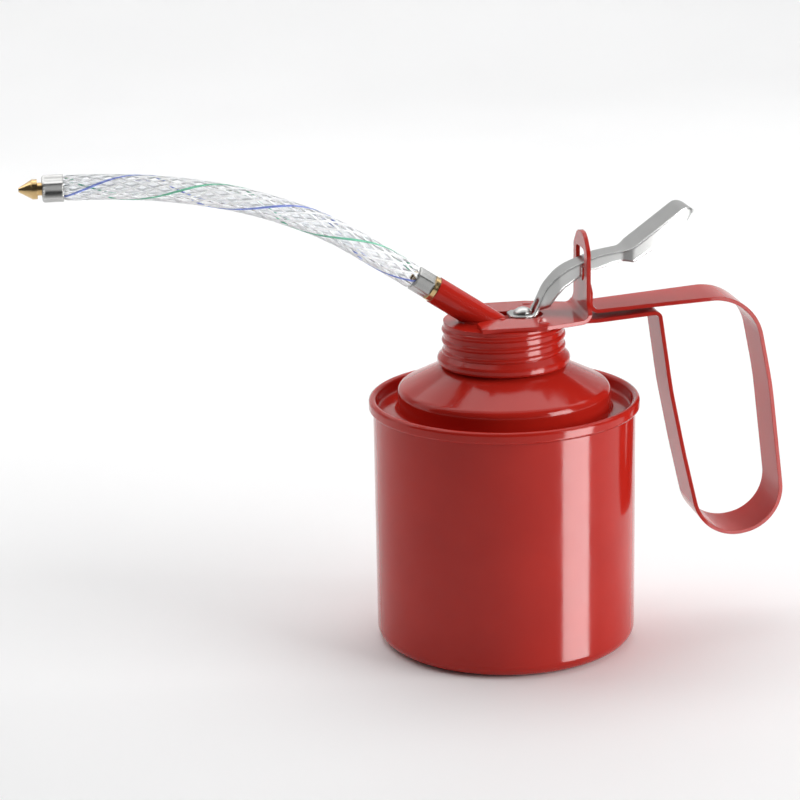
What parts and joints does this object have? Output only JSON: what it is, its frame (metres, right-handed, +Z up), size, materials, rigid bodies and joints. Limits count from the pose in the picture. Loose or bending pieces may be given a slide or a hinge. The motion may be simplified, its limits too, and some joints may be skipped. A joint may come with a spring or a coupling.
{
  "type": "pump oil can",
  "caption": "Red pump oil can with a strap handle, a finger lever on a slotted bracket and a clear braided hose spout with a brass nozzle.",
  "frame": {"origin": "centre of the can's bottom, on the can's axis", "axes": "+Z up along the can's axis, +X towards the strap handle, -X towards the spout's nozzle, +Y to the left of someone holding the handle"},
  "size_m": [0.2745, 0.0992, 0.1819],
  "materials": {
    "red_enamel": "gloss",
    "nickel_plate": "gloss",
    "brass": "gloss",
    "clear_hose": "gloss",
    "oil_rubber": "satin",
    "cup_leather": "satin",
    "bright_steel": "gloss"
  },
  "bodies": {
    "can": {"can_body": "red_enamel", "can_cover": "red_enamel"},
    "gasket": {"cap_gasket": "oil_rubber"},
    "cap": {"screw_cap": "red_enamel", "bracket": "red_enamel", "handle_strap": "red_enamel", "spout_boss": "red_enamel", "spout_adapter": "brass", "delivery_tube": "brass", "hose_ferrule_can": "nickel_plate", "hose": "clear_hose", "hose_ferrule_tip": "nickel_plate", "nozzle_tail": "brass", "nozzle_tip": "brass", "return_spring": "bright_steel", "gland_nut": "brass", "rod_packing": "oil_rubber", "pump_head": "brass", "pump_cylinder": "brass", "foot_valve": "brass", "ball_cage": "brass", "suction_tube": "clear_hose", "strainer": "brass"},
    "lever": {"lever": "nickel_plate"},
    "pump_rod": {"piston_rod": "nickel_plate", "piston": "brass", "piston_cup": "cup_leather", "piston_nut": "brass"},
    "transfer_valve": {"transfer_ball": "bright_steel"},
    "inlet_valve": {"inlet_ball": "bright_steel"}
  },
  "joints": [
    {"name": "cap_lift", "type": "slide", "parent": "can", "child": "gasket", "axis": [0, 0, 1], "range_m": [0, 0.01201]},
    {"name": "cap_turn", "type": "hinge", "parent": "gasket", "child": "cap", "pos_m": [0, 0, 0.1207], "axis": [0, 0, 1], "range_deg": [0, 1080]},
    {"name": "lever_squeeze", "type": "hinge", "parent": "cap", "child": "lever", "pos_m": [0.02925, 0, 0.13945], "axis": [0, 1, 0], "range_deg": [0, 14.5], "stiffness_Nm_per_rad": 0.35, "springref_deg": -28.65},
    {"name": "pump_slide", "type": "slide", "parent": "cap", "child": "pump_rod", "axis": [0, 0, 1], "range_m": [0, 0.00835], "deforming": ["return_spring"]},
    {"name": "transfer_valve_lift", "type": "slide", "parent": "pump_rod", "child": "transfer_valve", "axis": [0, 0, 1], "range_m": [0, 0.0009]},
    {"name": "inlet_valve_lift", "type": "slide", "parent": "cap", "child": "inlet_valve", "axis": [0, 0, 1], "range_m": [0, 0.0009]}
  ],
  "couplings": [
    {"joint": "cap_lift", "follows": "cap_turn", "m_per_rad": 0.00063662},
    {"joint": "pump_slide", "follows": "lever_squeeze", "m_per_rad": 0.0328}
  ]
}
